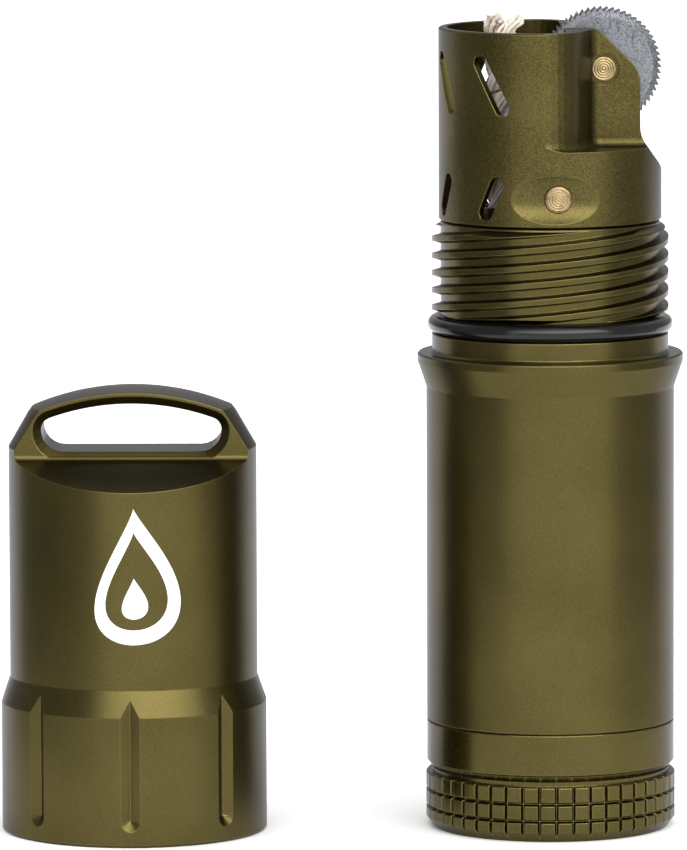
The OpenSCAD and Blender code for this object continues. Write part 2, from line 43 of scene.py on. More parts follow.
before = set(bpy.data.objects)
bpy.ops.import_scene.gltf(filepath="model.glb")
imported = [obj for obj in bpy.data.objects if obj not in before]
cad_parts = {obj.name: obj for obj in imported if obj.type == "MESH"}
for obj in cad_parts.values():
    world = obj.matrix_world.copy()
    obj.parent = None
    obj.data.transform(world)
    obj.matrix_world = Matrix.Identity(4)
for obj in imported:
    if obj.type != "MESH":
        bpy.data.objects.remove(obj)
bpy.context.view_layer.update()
MM = 0.001

# Brightness of the softboxes by azimuth, as (degrees, level), with 0 at the camera's side.
LOW_BAND = ((-180, 0.58), (-150, 0.42), (-125, 0.16), (-95, 0.18), (-70, 0.5), (-45, 0.85),
            (0, 0.95), (30, 1.1), (58, 0.9), (80, 0.5), (105, 0.32), (128, 0.3), (152, 0.4),
            (180, 0.58))
HIGH_BAND = ((-180, 1.2), (-130, 0.6), (-95, 0.5), (-60, 1.3), (-30, 3.0), (0, 4.8), (35, 5.2),
             (62, 3.0), (90, 1.0), (130, 0.6), (180, 1.2))
# Cards in metres: x, nearest y, farthest y, height, and their brightness.
CARDS = {"card_left": (-0.115, -0.13, 0.05, 0.3, 0.27),
         "card_right": (0.105, -0.075, 0.05, 0.3, 0.42)}
# Spacing of the lathe rings, in millimetres.
TURNED_RING = 0.14
PIN_RING = 0.24
# Roughness of the neck and thread, which are smoother than the tube.
NECK_ROUGHNESS = 0.27


# ---- Small helpers ----

def rgb(hex_colour):
    """An sRGB hex colour as linear RGBA."""
    parts = [int(hex_colour[i:i + 2], 16) / 255 for i in (1, 3, 5)]
    linear = [c / 12.92 if c <= 0.04045 else ((c + 0.055) / 1.055) ** 2.4 for c in parts]
    return (*linear, 1.0)


def grey(level):
    return (level, level, level, 1.0)


def add_node(tree, kind, inputs=None, stops=None, **settings):
    """Adds a node with its settings, inputs (values or sockets to link) and colour ramp stops."""
    node = tree.nodes.new(kind)
    for key, value in settings.items():
        setattr(node, key, value)
    for key, value in (inputs or {}).items():
        if isinstance(value, bpy.types.NodeSocket):
            tree.links.new(value, node.inputs[key])
        else:
            node.inputs[key].default_value = value
    if stops:
        elements = node.color_ramp.elements
        while len(elements) < len(stops):
            elements.new(1.0)
        for element, (position, colour) in zip(elements, stops):
            element.position = position
            element.color = colour
    return node


def new_material(name, **constants):
    """A material with one Principled shader, whose constant sockets are set here."""
    material = bpy.data.materials.new(name)
    material.use_nodes = True
    tree = material.node_tree
    tree.nodes.clear()
    sockets = {key.replace("_", " "): value for key, value in constants.items()}
    shader = add_node(tree, "ShaderNodeBsdfPrincipled", sockets)
    add_node(tree, "ShaderNodeOutputMaterial", {"Surface": shader.outputs["BSDF"]})
    return material, tree, shader


def wire(tree, shader, **sources):
    """Links sockets to the shader's inputs."""
    for key, source in sources.items():
        tree.links.new(source, shader.inputs[key.replace("_", " ")])


def finish_nodes(names, material):
    """Gives carried-over CAD nodes their finish."""
    for name in names:
        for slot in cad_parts[name].material_slots:
            slot.material = material


def new_piece(name, mesh, body, stands_for=()):
    """Links a finished mesh at the origin and lets it ride on its body."""
    piece = bpy.data.objects.new(name, mesh)
    bpy.context.scene.collection.objects.link(piece)
    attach(piece, body)
    if stands_for:
        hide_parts(*stands_for)
    return piece


# ---- Finishes ----

def olive_anodised(name, sizes, grain, contrast, ring_marks, roughness, glossy_from=None):
    """Anodised aluminium: a dyed oxide over turned metal, so a dark olive metal with pale grazing rims, fine
    grit from the blasting, faint rings from the lathe and rounded edges painted a yellower olive, partly as
    wear and partly as a painted highlight."""
    material, tree, shader = new_material(name, Metallic=1.0, Specular_Tint=rgb("#dfe2ee"))
    place = add_node(tree, "ShaderNodeTexCoord").outputs["Object"]
    grit = add_node(tree, "ShaderNodeTexNoise",
                    {"Vector": place, "Scale": 1 / (grain * MM), "Detail": 2.0, "Roughness": 0.6})
    cloud = add_node(tree, "ShaderNodeTexNoise",
                     {"Vector": place, "Scale": 1 / (9 * MM), "Detail": 2.0})
    flat = add_node(tree, "ShaderNodeMapping", {"Vector": place, "Scale": (0.02, 0.02, 1.0)})
    rings = add_node(tree, "ShaderNodeTexNoise",
                     {"Vector": flat.outputs[0], "Scale": 1 / (TURNED_RING * MM), "Detail": 3.0})
    patches = add_node(tree, "ShaderNodeMath", {0: cloud.outputs["Fac"], 1: 0.25}, operation="MULTIPLY")
    tone = add_node(tree, "ShaderNodeMath", {0: grit.outputs["Fac"], 1: 0.5, 2: patches.outputs[0]},
                    operation="MULTIPLY_ADD")
    metal = add_node(tree, "ShaderNodeValToRGB", {"Fac": tone.outputs[0]},
                     stops=[(0.375 - 0.1 / contrast, rgb(sizes.olive_dark)),
                            (0.375 + 0.1 / contrast, rgb(sizes.olive_light))])
    rounded = add_node(tree, "ShaderNodeBevel", {"Radius": sizes.edge_round * MM}, samples=4)
    sharp = add_node(tree, "ShaderNodeNewGeometry")
    turned = add_node(tree, "ShaderNodeVectorMath",
                      {0: rounded.outputs[0], 1: sharp.outputs["True Normal"]}, operation="DOT_PRODUCT")
    # Edge mask: rounded edges get a paler olive, partly for rubbed metal and partly as a painted highlight
    # along the edges.
    edge = add_node(tree, "ShaderNodeMapRange",
                    {"Value": turned.outputs["Value"], "From Min": 0.99, "From Max": 0.86,
                     "To Min": 0.0, "To Max": 0.55})
    colour = add_node(tree, "ShaderNodeMix",
                      {0: edge.outputs[0], 6: metal.outputs["Color"], 7: rgb(sizes.olive_edge_wear_and_highlight)},
                      data_type="RGBA")
    height = add_node(tree, "ShaderNodeMath",
                      {0: rings.outputs["Fac"], 1: ring_marks, 2: grit.outputs["Fac"]},
                      operation="MULTIPLY_ADD")
    bump = add_node(tree, "ShaderNodeBump",
                    {"Height": height.outputs[0], "Strength": 0.25, "Distance": grain * 0.12 * MM,
                     "Normal": rounded.outputs[0]})
    satin = add_node(tree, "ShaderNodeMapRange",
                     {"Value": grit.outputs["Fac"], "From Min": 0.3, "From Max": 0.7,
                      "To Min": roughness - 0.05, "To Max": roughness + 0.05})
    finish = satin
    if glossy_from is not None:
        axes = add_node(tree, "ShaderNodeSeparateXYZ", {0: place})
        finish = add_node(tree, "ShaderNodeMapRange",
                          {"Value": axes.outputs["Z"], "From Min": glossy_from,
                           "From Max": glossy_from + 1.0 * MM, "To Min": satin.outputs[0],
                           "To Max": NECK_ROUGHNESS})
    wire(tree, shader, Base_Color=colour.outputs[2], Roughness=finish.outputs[0],
         Normal=bump.outputs["Normal"])
    return material


def turned_brass(name, sizes, centre_x=None, centre_z=None):
    """Free-cutting brass, faced on a lathe: bright yellow metal whose fine rings round the pin's
    own axis stretch each highlight into a fan."""
    material, tree, shader = new_material(name, Metallic=1.0)
    place = add_node(tree, "ShaderNodeTexCoord").outputs["Object"]
    blotch = add_node(tree, "ShaderNodeTexNoise",
                      {"Vector": place, "Scale": 1 / (0.5 * MM), "Detail": 4.0})
    colour = add_node(tree, "ShaderNodeValToRGB", {"Fac": blotch.outputs["Fac"]},
                      stops=[(0.3, rgb(sizes.brass_dark)), (0.5, rgb(sizes.brass))])
    rough = add_node(tree, "ShaderNodeMapRange",
                     {"Value": blotch.outputs["Fac"], "From Min": 0.3, "From Max": 0.7,
                      "To Min": 0.24, "To Max": 0.38})
    wire(tree, shader, Base_Color=colour.outputs["Color"], Roughness=rough.outputs[0])
    if centre_x is None:
        return material
    arm = add_node(tree, "ShaderNodeVectorMath", {0: place, 1: (centre_x, 0.0, centre_z)},
                   operation="SUBTRACT")
    across = add_node(tree, "ShaderNodeVectorMath", {0: arm.outputs[0], 1: (1.0, 0.0, 1.0)},
                      operation="MULTIPLY")
    reach = add_node(tree, "ShaderNodeVectorMath", {0: across.outputs[0]}, operation="LENGTH")
    rings = add_node(tree, "ShaderNodeMath",
                     {0: reach.outputs["Value"], 1: 2 * math.pi / (PIN_RING * MM)}, operation="MULTIPLY")
    wave = add_node(tree, "ShaderNodeMath", {0: rings.outputs[0]}, operation="SINE")
    rounded = add_node(tree, "ShaderNodeBevel", {"Radius": 0.06 * MM}, samples=4)
    bump = add_node(tree, "ShaderNodeBump",
                    {"Height": wave.outputs[0], "Strength": 1.0, "Distance": 0.02 * MM,
                     "Normal": rounded.outputs[0]})
    along = add_node(tree, "ShaderNodeVectorMath", {0: across.outputs[0], 1: (0.0, 1.0, 0.0)},
                     operation="CROSS_PRODUCT")
    tangent = add_node(tree, "ShaderNodeVectorMath", {0: along.outputs[0]}, operation="NORMALIZE")
    shader.inputs["Anisotropic"].default_value = 0.9
    wire(tree, shader, Normal=bump.outputs["Normal"], Tangent=tangent.outputs[0])
    return material


def hardened_steel(sizes):
    """Case-hardened steel, left matt from the heat: mid grey, with dark and bright specks of scale."""
    material, tree, shader = new_material("hardened_steel", Metallic=1.0)
    place = add_node(tree, "ShaderNodeTexCoord").outputs["Object"]
    scale = add_node(tree, "ShaderNodeTexNoise",
                     {"Vector": place, "Scale": 1 / (0.22 * MM), "Detail": 4.0, "Roughness": 0.7})
    cloud = add_node(tree, "ShaderNodeTexNoise", {"Vector": place, "Scale": 1 / (3 * MM), "Detail": 3.0})
    patches = add_node(tree, "ShaderNodeMath", {0: cloud.outputs["Fac"], 1: 0.35}, operation="MULTIPLY")
    mixed = add_node(tree, "ShaderNodeMath",
                     {0: scale.outputs["Fac"], 1: 0.75, 2: patches.outputs[0]}, operation="MULTIPLY_ADD")
    colour = add_node(tree, "ShaderNodeValToRGB", {"Fac": mixed.outputs[0]},
                      stops=[(0.45, rgb(sizes.steel_dark)), (0.62, rgb(sizes.steel))])
    rounded = add_node(tree, "ShaderNodeBevel", {"Radius": 0.07 * MM}, samples=4)
    bump = add_node(tree, "ShaderNodeBump",
                    {"Height": scale.outputs["Fac"], "Strength": 0.5, "Distance": 0.03 * MM,
                     "Normal": rounded.outputs[0]})
    rough = add_node(tree, "ShaderNodeMapRange",
                     {"Value": scale.outputs["Fac"], "From Min": 0.3, "From Max": 0.7,
                      "To Min": 0.55, "To Max": 0.4})
    wire(tree, shader, Base_Color=colour.outputs["Color"], Roughness=rough.outputs[0],
         Normal=bump.outputs["Normal"])
    return material


def nitrile_rubber(sizes):
    """Moulded nitrile O-ring with a film of grease: near black, glossy, with dull patches of dust."""
    material, tree, shader = new_material("greased_nitrile", Specular_IOR_Level=0.4)
    place = add_node(tree, "ShaderNodeTexCoord").outputs["Object"]
    film = add_node(tree, "ShaderNodeTexNoise",
                    {"Vector": place, "Scale": 1 / (1.6 * MM), "Detail": 5.0, "Roughness": 0.65})
    rough = add_node(tree, "ShaderNodeMapRange",
                     {"Value": film.outputs["Fac"], "From Min": 0.35, "From Max": 0.7,
                      "To Min": 0.16, "To Max": 0.24})
    dust = add_node(tree, "ShaderNodeValToRGB", {"Fac": film.outputs["Fac"]},
                    stops=[(0.6, rgb(sizes.rubber)), (0.85, rgb("#222221"))])
    bump = add_node(tree, "ShaderNodeBump",
                    {"Height": film.outputs["Fac"], "Strength": 0.2, "Distance": 0.03 * MM})
    wire(tree, shader, Base_Color=dust.outputs["Color"], Roughness=rough.outputs[0],
         Normal=bump.outputs["Normal"])
    return material


def cotton_yarn(name, pale, dark, grain):
    """Unbleached cotton: matt off-white fibre, with the odd yellow-brown thread and seed husk."""
    material, tree, shader = new_material(name, Roughness=0.95, Sheen_Weight=0.3, Sheen_Roughness=0.5)
    place = add_node(tree, "ShaderNodeTexCoord").outputs["Object"]
    fibre = add_node(tree, "ShaderNodeTexNoise",
                     {"Vector": place, "Scale": 1 / (grain * MM), "Detail": 4.0, "Roughness": 0.7})
    patch = add_node(tree, "ShaderNodeTexNoise", {"Vector": place, "Scale": 1 / (1.4 * MM), "Detail": 2.0})
    husk = add_node(tree, "ShaderNodeMapRange",
                    {"Value": patch.outputs["Fac"], "From Min": 0.58, "From Max": 0.72})
    pale_tone = add_node(tree, "ShaderNodeValToRGB", {"Fac": fibre.outputs["Fac"]},
                         stops=[(0.3, rgb(dark)), (0.55, rgb(pale))])
    colour = add_node(tree, "ShaderNodeMix",
                      {0: husk.outputs[0], 6: pale_tone.outputs["Color"], 7: rgb("#a98f6d")},
                      data_type="RGBA")
    bump = add_node(tree, "ShaderNodeBump",
                    {"Height": fibre.outputs["Fac"], "Strength": 0.6, "Distance": grain * 0.3 * MM})
    wire(tree, shader, Base_Color=colour.outputs[2], Normal=bump.outputs["Normal"])
    return material


def flint_alloy():
    """Ferrocerium, extruded and lacquered: dark grey, with fine scratches along the rod."""
    material, tree, shader = new_material("ferrocerium_rod", Metallic=1.0)
    place = add_node(tree, "ShaderNodeTexCoord").outputs["Object"]
    long = add_node(tree, "ShaderNodeMapping", {"Vector": place, "Scale": (1.0, 1.0, 0.08)})
    scratch = add_node(tree, "ShaderNodeTexNoise",
                       {"Vector": long.outputs[0], "Scale": 1 / (0.15 * MM), "Detail": 3.0})
    colour = add_node(tree, "ShaderNodeValToRGB", {"Fac": scratch.outputs["Fac"]},
                      stops=[(0.35, rgb("#2c2b2a")), (0.65, rgb("#5a5855"))])
    rough = add_node(tree, "ShaderNodeMapRange",
                     {"Value": scratch.outputs["Fac"], "To Min": 0.4, "To Max": 0.65})
    wire(tree, shader, Base_Color=colour.outputs["Color"], Roughness=rough.outputs[0])
    return material


def drawn_wire():
    """Spring steel wire, drawn and oiled: bright grey with faint lengthwise streaks."""
    material, tree, shader = new_material("drawn_spring_wire", Metallic=1.0)
    place = add_node(tree, "ShaderNodeTexCoord").outputs["Object"]
    streak = add_node(tree, "ShaderNodeTexNoise", {"Vector": place, "Scale": 1 / (0.3 * MM), "Detail": 3.0})
    colour = add_node(tree, "ShaderNodeValToRGB", {"Fac": streak.outputs["Fac"]},
                      stops=[(0.35, rgb("#7f8184")), (0.65, rgb("#b4b6b8"))])
    rough = add_node(tree, "ShaderNodeMapRange",
                     {"Value": streak.outputs["Fac"], "To Min": 0.2, "To Max": 0.4})
    wire(tree, shader, Base_Color=colour.outputs["Color"], Roughness=rough.outputs[0])
    return material


def white_print(sizes):
    """Pad-printed enamel: flat cool white, with a faint orange-peel and tiny thin spots."""
    material, tree, shader = new_material("white_print")
    place = add_node(tree, "ShaderNodeTexCoord").outputs["Object"]
    peel = add_node(tree, "ShaderNodeTexNoise", {"Vector": place, "Scale": 1 / (0.3 * MM), "Detail": 3.0})
    colour = add_node(tree, "ShaderNodeValToRGB", {"Fac": peel.outputs["Fac"]},
                      stops=[(0.25, rgb("#cfd0d4")), (0.45, rgb(sizes.print_white))])
    rough = add_node(tree, "ShaderNodeMapRange",
                     {"Value": peel.outputs["Fac"], "To Min": 0.4, "To Max": 0.6})
    bump = add_node(tree, "ShaderNodeBump",
                    {"Height": peel.outputs["Fac"], "Strength": 0.15, "Distance": 0.01 * MM})
    wire(tree, shader, Base_Color=colour.outputs["Color"], Roughness=rough.outputs[0],
         Normal=bump.outputs["Normal"])
    return material


# ---- Stage ----

def studio_world(sizes):
    """Soft studio light by direction: a high front softbox, with dimmer sides and back.
    Diffuse rays see an even dome, so the paper floor is lit evenly."""
    world = bpy.data.worlds.new("soft_studio")
    bpy.context.scene.world = world
    world.use_nodes = True
    tree = world.node_tree
    tree.nodes.clear()
    direction = add_node(tree, "ShaderNodeTexCoord").outputs["Generated"]
    axes = add_node(tree, "ShaderNodeSeparateXYZ", {0: direction})
    towards = add_node(tree, "ShaderNodeMath", {0: axes.outputs["Y"], 1: -1.0}, operation="MULTIPLY")
    turn = add_node(tree, "ShaderNodeMath", {0: axes.outputs["X"], 1: towards.outputs[0]},
                    operation="ARCTAN2")
    share = add_node(tree, "ShaderNodeMapRange",
                     {"Value": turn.outputs[0], "From Min": -math.pi, "From Max": math.pi})
    bands = []
    for levels in (LOW_BAND, HIGH_BAND):
        top = max(v for _, v in levels)
        ramp = add_node(tree, "ShaderNodeValToRGB", {"Fac": share.outputs[0]},
                        stops=[((a + 180) / 360, grey(v / top)) for a, v in levels])
        bands.append(add_node(tree, "ShaderNodeMath", {0: ramp.outputs["Color"], 1: top},
                              operation="MULTIPLY").outputs[0])
    behind = add_node(tree, "ShaderNodeMapRange",
                      {"Value": axes.outputs["Y"], "From Min": -0.1, "From Max": 0.4,
                       "To Min": 0.0, "To Max": 0.2})
    lowered = add_node(tree, "ShaderNodeMath", {0: axes.outputs["Z"], 1: behind.outputs[0]},
                       operation="SUBTRACT")
    rise = add_node(tree, "ShaderNodeMapRange",
                    {"Value": lowered.outputs[0], "From Min": 0.14, "From Max": 0.4},
                    interpolation_type="SMOOTHSTEP")
    both = add_node(tree, "ShaderNodeMix", {0: rise.outputs[0], 2: bands[0], 3: bands[1]})
    zenith = add_node(tree, "ShaderNodeMapRange",
                      {"Value": axes.outputs["Z"], "From Min": 0.7, "From Max": 0.92,
                       "To Min": 1.0, "To Max": 0.3}, interpolation_type="SMOOTHSTEP")
    level = add_node(tree, "ShaderNodeMath", {0: both.outputs[0], 1: zenith.outputs[0]},
                     operation="MULTIPLY")
    softboxes = add_node(tree, "ShaderNodeBackground",
                         {"Color": level.outputs[0], "Strength": sizes.softbox_strength})
    dome = add_node(tree, "ShaderNodeBackground", {"Color": grey(1.0), "Strength": sizes.dome_strength})
    paper = add_node(tree, "ShaderNodeBackground", {"Color": grey(1.0), "Strength": 1.0})
    path = add_node(tree, "ShaderNodeLightPath")
    lit = add_node(tree, "ShaderNodeMixShader",
                   {0: path.outputs["Is Diffuse Ray"], 1: softboxes.outputs[0], 2: dome.outputs[0]})
    shown = add_node(tree, "ShaderNodeMixShader",
                     {0: path.outputs["Is Camera Ray"], 1: lit.outputs[0], 2: paper.outputs[0]})
    add_node(tree, "ShaderNodeOutputWorld", {"Surface": shown.outputs[0]})


def studio_camera(sizes):
    azimuth, elevation, roll = sizes.camera_azimuth, sizes.camera_elevation, sizes.camera_roll
    back = Vector((math.sin(azimuth) * math.cos(elevation),
                   -math.cos(azimuth) * math.cos(elevation), math.sin(elevation)))
    data = bpy.data.cameras.new("camera")
    data.lens = sizes.camera_lens
    data.clip_start = 0.05
    data.clip_end = 30
    camera = bpy.data.objects.new("camera", data)
    turn = (-back).to_track_quat("-Z", "Y").to_matrix() @ Matrix.Rotation(-roll, 3, "Z")
    place = Vector(sizes.camera_aim) + back * sizes.camera_distance
    camera.matrix_world = Matrix.LocRotScale(place, turn, None)
    bpy.context.scene.collection.objects.link(camera)
    bpy.context.scene.camera = camera


def paper_floor(sizes):
    mesh = bpy.data.meshes.new("floor")
    form = bmesh.new()
    bmesh.ops.create_circle(form, cap_ends=True, segments=64, radius=sizes.floor_radius,
                            matrix=Matrix.Translation((0, 0, -0.02 * MM)))
    form.to_mesh(mesh)
    form.free()
    floor = bpy.data.objects.new("floor", mesh)
    bpy.context.scene.collection.objects.link(floor)
    paper = new_material("white_paper", Base_Color=rgb("#f6f6f6"), Roughness=0.9, Specular_IOR_Level=0.1)
    mesh.materials.append(paper[0])


def reflection_card(name, x, y_near, y_far, height, level):
    """A grey card that only reflections see, so the metal darkens towards its sides."""
    mesh = bpy.data.meshes.new(name)
    mesh.from_pydata([(x, y_near, 0), (x, y_far, 0), (x, y_far, height), (x, y_near, height)], [],
                     [(0, 1, 2, 3)])
    glow = new_material(name, Base_Color=grey(0.02), Roughness=1.0, Emission_Color=grey(1.0),
                        Emission_Strength=level)
    mesh.materials.append(glow[0])
    card = bpy.data.objects.new(name, mesh)
    bpy.context.scene.collection.objects.link(card)
    card.visible_camera = card.visible_diffuse = card.visible_shadow = False


# ---- Wick ----

def wick_tree(sizes, material):
    """Geometry Nodes: straight yarns on rings, twisted into plies and frayed open at the cut end."""
    tree = bpy.data.node_groups.new("twisted_wick", "GeometryNodeTree")
    face = tree.interface
    face.new_socket("Geometry", in_out="INPUT", socket_type="NodeSocketGeometry")
    for name, value in (("Ply Pitch", sizes.wick_pitch * MM), ("Yarn Radius", sizes.yarn_radius * MM),
                        ("Fray From", 0.0), ("Fray Length", 2.0 * MM), ("Fray Spread", 1.0)):
        face.new_socket(name, in_out="INPUT", socket_type="NodeSocketFloat").default_value = value
    face.new_socket("Geometry", in_out="OUTPUT", socket_type="NodeSocketGeometry")
    given = add_node(tree, "NodeGroupInput").outputs
    yarns = add_node(tree, "GeometryNodeMeshToCurve", {0: given["Geometry"]})
    place = add_node(tree, "GeometryNodeInputPosition").outputs[0]
    axes = add_node(tree, "ShaderNodeSeparateXYZ", {0: place})
    turns = add_node(tree, "ShaderNodeMath", {0: axes.outputs["Z"], 1: given["Ply Pitch"]},
                     operation="DIVIDE")
    angle = add_node(tree, "ShaderNodeMath", {0: turns.outputs[0], 1: 2 * math.pi}, operation="MULTIPLY")
    twist = add_node(tree, "ShaderNodeVectorRotate",
                     {"Vector": place, "Angle": angle.outputs[0]}, rotation_type="Z_AXIS")
    above = add_node(tree, "ShaderNodeMath", {0: axes.outputs["Z"], 1: given["Fray From"]},
                     operation="SUBTRACT")
    fray = add_node(tree, "ShaderNodeMapRange",
                    {"Value": above.outputs[0], "From Min": 0.0, "From Max": given["Fray Length"]},
                    clamp=True)
    wander = add_node(tree, "ShaderNodeTexNoise",
                      {"Vector": twist.outputs[0], "Scale": 1 / (0.8 * MM), "Detail": 2.0})
    centred = add_node(tree, "ShaderNodeVectorMath",
                       {0: wander.outputs["Color"], 1: (0.5, 0.5, 0.5)}, operation="SUBTRACT")
    reach = add_node(tree, "ShaderNodeMapRange",
                     {"Value": fray.outputs[0], "To Min": 0.14 * MM, "To Max": 3.4 * MM})
    push = add_node(tree, "ShaderNodeVectorMath", {0: centred.outputs[0], "Scale": reach.outputs[0]},
                    operation="SCALE")
    outward = add_node(tree, "ShaderNodeVectorMath", {0: twist.outputs[0], 1: (1.0, 1.0, 0.0)},
                       operation="MULTIPLY")
    spread = add_node(tree, "ShaderNodeMath", {0: fray.outputs[0], 1: given["Fray Spread"]},
                      operation="MULTIPLY")
    fan = add_node(tree, "ShaderNodeVectorMath", {0: outward.outputs[0], "Scale": spread.outputs[0]},
                   operation="SCALE")
    moved = add_node(tree, "ShaderNodeVectorMath", {0: twist.outputs[0], 1: push.outputs[0]},
                     operation="ADD")
    opened = add_node(tree, "ShaderNodeVectorMath", {0: moved.outputs[0], 1: fan.outputs[0]},
                      operation="ADD")
    laid = add_node(tree, "GeometryNodeSetPosition", {0: yarns.outputs[0], "Position": opened.outputs[0]})
    section = add_node(tree, "GeometryNodeCurvePrimitiveCircle",
                       {"Resolution": 6, "Radius": given["Yarn Radius"]})
    body = add_node(tree, "GeometryNodeCurveToMesh",
                    {0: laid.outputs[0], 1: section.outputs[0], "Fill Caps": True})
    real = add_node(tree, "GeometryNodeRealizeInstances", {0: body.outputs[0]})
    skin = add_node(tree, "GeometryNodeSetMaterial", {0: real.outputs[0], "Material": material})
    add_node(tree, "NodeGroupOutput", {0: skin.outputs[0]})
    return tree


def through_nodes(name, guide, tree, inputs):
    """Runs a node tree over a guide mesh and returns the plain result."""
    holder = bpy.data.objects.new(name + "_guide", guide)
    bpy.context.scene.collection.objects.link(holder)
    modifier = holder.modifiers.new("make", "NODES")
    modifier.node_group = tree
    keys = {s.name: s.identifier for s in tree.interface.items_tree if s.in_out == "INPUT"}
    for key, value in inputs.items():
        modifier[keys[key]] = value
    graph = bpy.context.evaluated_depsgraph_get()
    mesh = bpy.data.meshes.new_from_object(holder.evaluated_get(graph), depsgraph=graph)
    holder.modifiers.remove(modifier)
    bpy.data.objects.remove(holder)
    mesh.name = name
    return mesh


def yarn_guides(radius, plies, yarns, ply_r, low, high, step, seed):
    """Polylines for every yarn: each ply's yarns turn about the ply's own line, cut a little uneven."""
    mesh = bpy.data.meshes.new("yarns")
    points, edges = [], []
    uneven = 0.9 * MM
    yarn_lead = 2.6 * MM
    for ply in range(plies):
        turn = 2 * math.pi * ply / plies
        for yarn in range(yarns):
            ring = 0.0 if yarn == 0 else ply_r
            spin = 2 * math.pi * yarn / max(1, yarns - 1)
            end = high - uneven * ((ply * 37 + yarn * 17 + seed) % 10) / 10
            last = int((end - low) / step)
            for i in range(last + 1):
                z = low + i * step
                a = spin - z / yarn_lead
                x = (radius - ply_r) * math.cos(turn) + ring * math.cos(a)
                y = (radius - ply_r) * math.sin(turn) + ring * math.sin(a)
                points.append((x, y, z))
                if i:
                    edges.append((len(points) - 2, len(points) - 1))
    mesh.from_pydata(points, edges, [])
    return mesh


def make_wick(sizes):
    low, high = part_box("wick")
    centre = ((low[0] + high[0]) / 2, (low[1] + high[1]) / 2)
    radius = (high[0] - low[0]) / 2
    material = cotton_yarn("cotton_wick", "#efe6da", "#cfc0ab", 0.12)
    yarn_r = sizes.yarn_radius * MM
    ply_r = 0.5 * radius - yarn_r
    top_clearance = 0.55 * MM
    tree = wick_tree(sizes, material)
    guide = yarn_guides(radius * 0.97 - yarn_r - 0.05 * MM, sizes.wick_plies, sizes.ply_yarns, ply_r,
                        low[2], high[2] - top_clearance, 0.3 * MM, sizes.seed)
    mesh = through_nodes("wick_yarns", guide, tree,
                         {"Fray From": high[2] - sizes.fray_length * MM,
                          "Fray Length": sizes.fray_length * MM, "Fray Spread": sizes.fray_spread})
    mesh.transform(Matrix.Translation((centre[0], centre[1], 0)))
    new_piece("wick_yarns", mesh, "wick", ["wick"])


# ---- Emblem ----

def flame_outline(height, width, count):
    """Outline of a plain drop flame, as (x, z) points from its tip and round by the left."""
    bulge = 1.18
    lean = 0.05 * width
    points = []
    for i in range(count):
        t = 2 * math.pi * i / count
        s = (1 - math.cos(t)) / 2
        side = math.sin(t)
        x = -width * 0.5 * side * (s ** 0.75) * bulge
        z = height * (1 - s)
        points.append((x + lean * math.sin(math.pi * (1 - s)), z))
    return points


def wrapped_band(form, outer, inner, cap_centre, radius, foot, thickness, steps):
    """A closed thin band between two outlines, wrapped round the cap's wall, its skins half inside."""
    count = len(outer)
    skins = []
    for r in (radius + thickness, radius - thickness):
        rows = []
        for k in range(steps + 1):
            t = k / steps
            row = []
            for (ox, oz), (ix, iz) in zip(outer, inner):
                x, z = ox + (ix - ox) * t, oz + (iz - oz) * t
                a = -math.pi / 2 + x / radius
                row.append(form.verts.new((cap_centre[0] + r * math.cos(a),
                                           cap_centre[1] + r * math.sin(a), foot + z)))
            rows.append(row)
        skins.append(rows)
    for rows in skins:
        for k in range(steps):
            for i in range(count):
                j = (i + 1) % count
                form.faces.new((rows[k][i], rows[k][j], rows[k + 1][j], rows[k + 1][i]))
    for k in (0, steps):
        for i in range(count):
            j = (i + 1) % count
            form.faces.new((skins[0][k][i], skins[0][k][j], skins[1][k][j], skins[1][k][i]))


def make_emblem(sizes):
    low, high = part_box("cap_shell")
    centre = ((low[0] + high[0]) / 2, (low[1] + high[1]) / 2)
    height, width, stroke = (v * MM for v in (sizes.emblem_height, sizes.emblem_width, sizes.emblem_stroke))
    steps = 96
    drop_foot = 1.75 * stroke
    outer = flame_outline(height, width, steps)
    hollow_h = height - 2.6 * stroke
    hollow = [(x, z + stroke) for x, z in flame_outline(hollow_h, width - 2 * stroke, steps)]
    drop_h = hollow_h * 0.42
    drop = [(x, z + drop_foot) for x, z in flame_outline(drop_h, width * 0.3, steps)]
    core = [(0.0, drop_foot + drop_h * 0.35)] * steps
    form = bmesh.new()
    foot = sizes.emblem_foot * MM
    wall = sizes.cap_wall_radius * MM
    film = 0.02 * MM
    wrapped_band(form, outer, hollow, centre, wall, foot, film, 3)
    wrapped_band(form, drop, core, centre, wall, foot, film, 4)
    bmesh.ops.remove_doubles(form, verts=form.verts, dist=0.001 * MM)
    bmesh.ops.recalc_face_normals(form, faces=form.faces)
    mesh = bpy.data.meshes.new("flame_emblem")
    form.to_mesh(mesh)
    form.free()
    mesh.materials.append(white_print(sizes))
    new_piece("flame_emblem", mesh, "cap")


# ---- Sizes and colours ----

class LighterFinishSizes(bpy.types.PropertyGroup):
    olive_dark: StringProperty(name="Dark olive", description="Darker tone of the anodised metal",
                               default="#4c4526")
    olive_light: StringProperty(name="Light olive", description="Lighter tone of the anodised metal",
                                default="#5f5632")
    # Paler olive for edges: rubbed metal, and also a painted highlight along the edges.
    olive_edge_wear_and_highlight: StringProperty(name="Worn and highlit olive", description="Tone of rubbed edges and their painted highlight", default="#a0955c")
    brass: StringProperty(name="Brass", description="Colour of clean brass", default="#a08c68")
    brass_dark: StringProperty(name="Dull brass", description="Colour of dull brass", default="#7d6845")
    steel: StringProperty(name="Steel", description="Colour of the striker wheel", default="#85888c")
    steel_dark: StringProperty(name="Dark steel", description="Colour of scale on the wheel",
                               default="#55575b")
    rubber: StringProperty(name="Rubber", description="Colour of the seals", default="#0c0c0c")
    edge_round: FloatProperty(name="Edge rounding", description="Radius of broken edges, in millimetres",
                              default=0.12, min=0.01, max=0.5)


